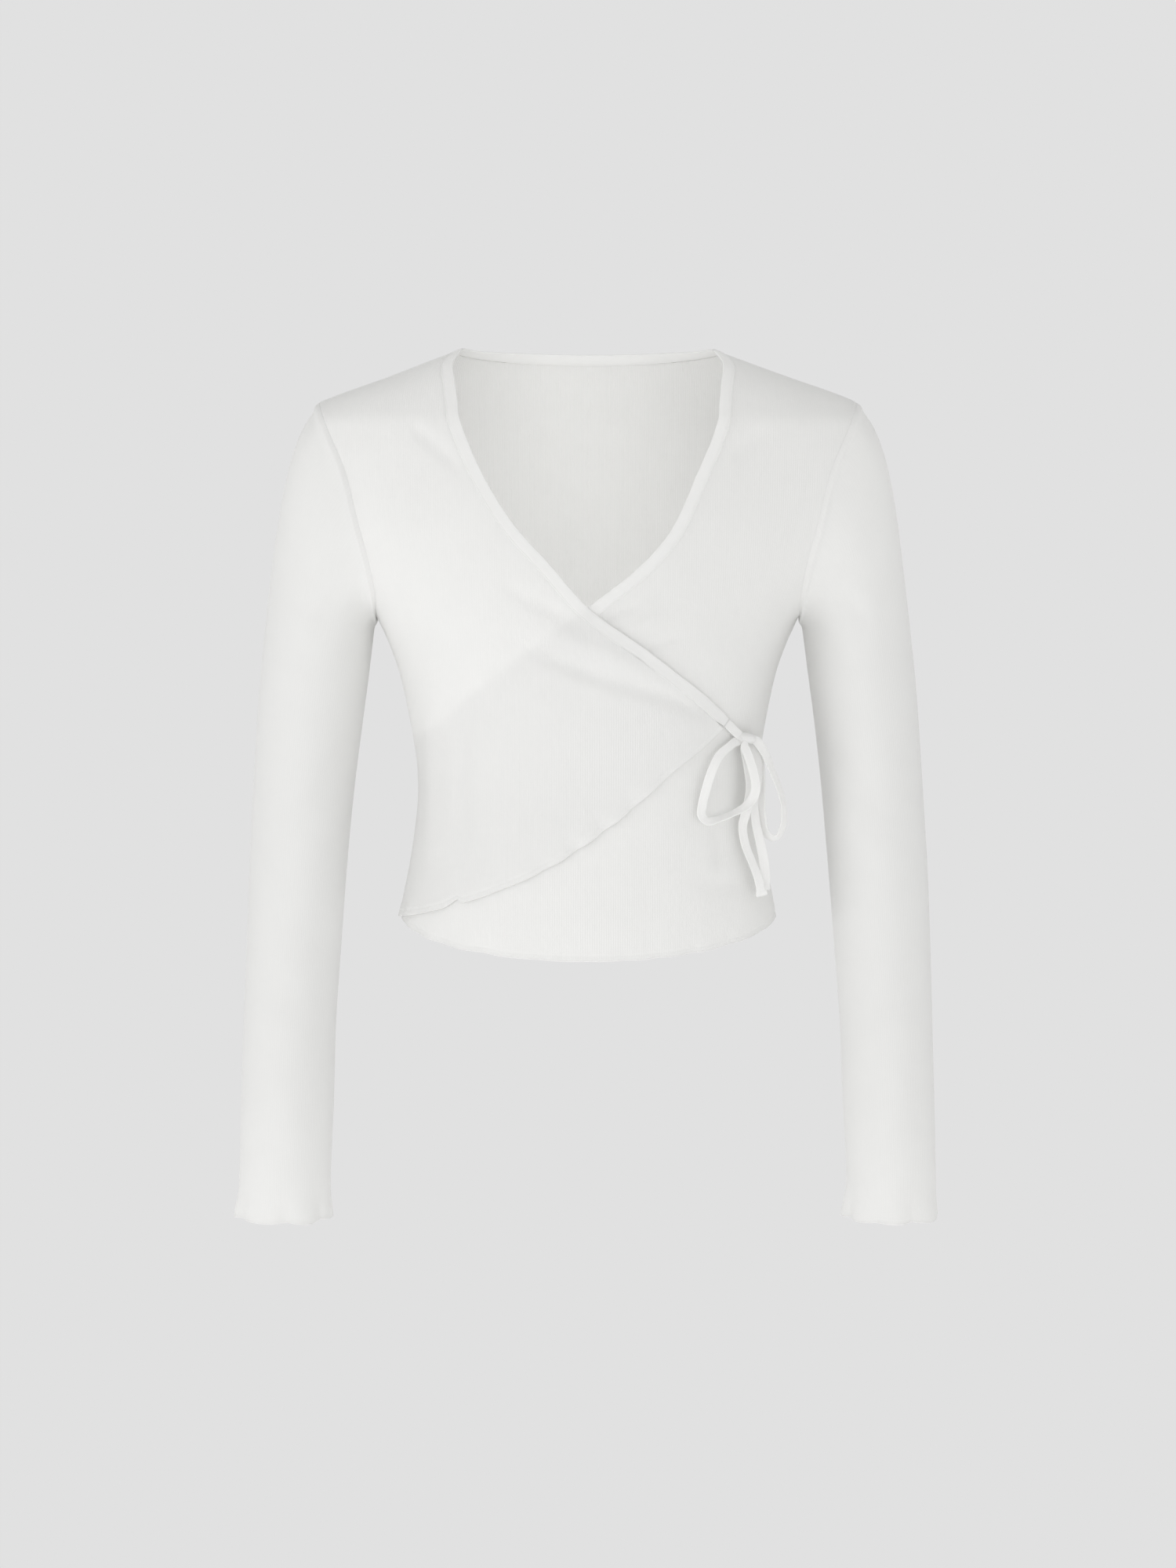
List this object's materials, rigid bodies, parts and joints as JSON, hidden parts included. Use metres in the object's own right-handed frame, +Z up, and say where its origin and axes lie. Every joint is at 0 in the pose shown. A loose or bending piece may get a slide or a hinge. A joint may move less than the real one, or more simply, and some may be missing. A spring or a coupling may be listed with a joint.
{
  "type": "wrap cardigan",
  "caption": "Cropped long-sleeved wrap cardigan in fine white jersey, filled out and hollow, with bound neck edges tied in a bow beside the waist.",
  "frame": {"origin": "middle of the line across the wearer's shoulders, where the garment is held up", "axes": "+Z up, the front faces -Y, the wearer's left is +X"},
  "size_m": [0.5048, 0.1951, 0.619],
  "materials": {
    "jersey": "matte fine-ribbed knit, white",
    "folded_strip": "matte folded knit strip, white"
  },
  "bodies": {
    "root": {"front_right": "jersey", "front_left": "jersey", "back": "jersey", "sleeve_right": "jersey", "sleeve_left": "jersey", "binding_right": "folded_strip", "binding_left": "folded_strip", "binding_back": "folded_strip", "tie_knot": "folded_strip", "tie_front_root": "folded_strip", "tie_side_root": "folded_strip", "tie_front_loop": "folded_strip", "tie_front_tail": "folded_strip", "tie_side_tail": "folded_strip", "tie_side_loop": "folded_strip"}
  },
  "joints": []
}
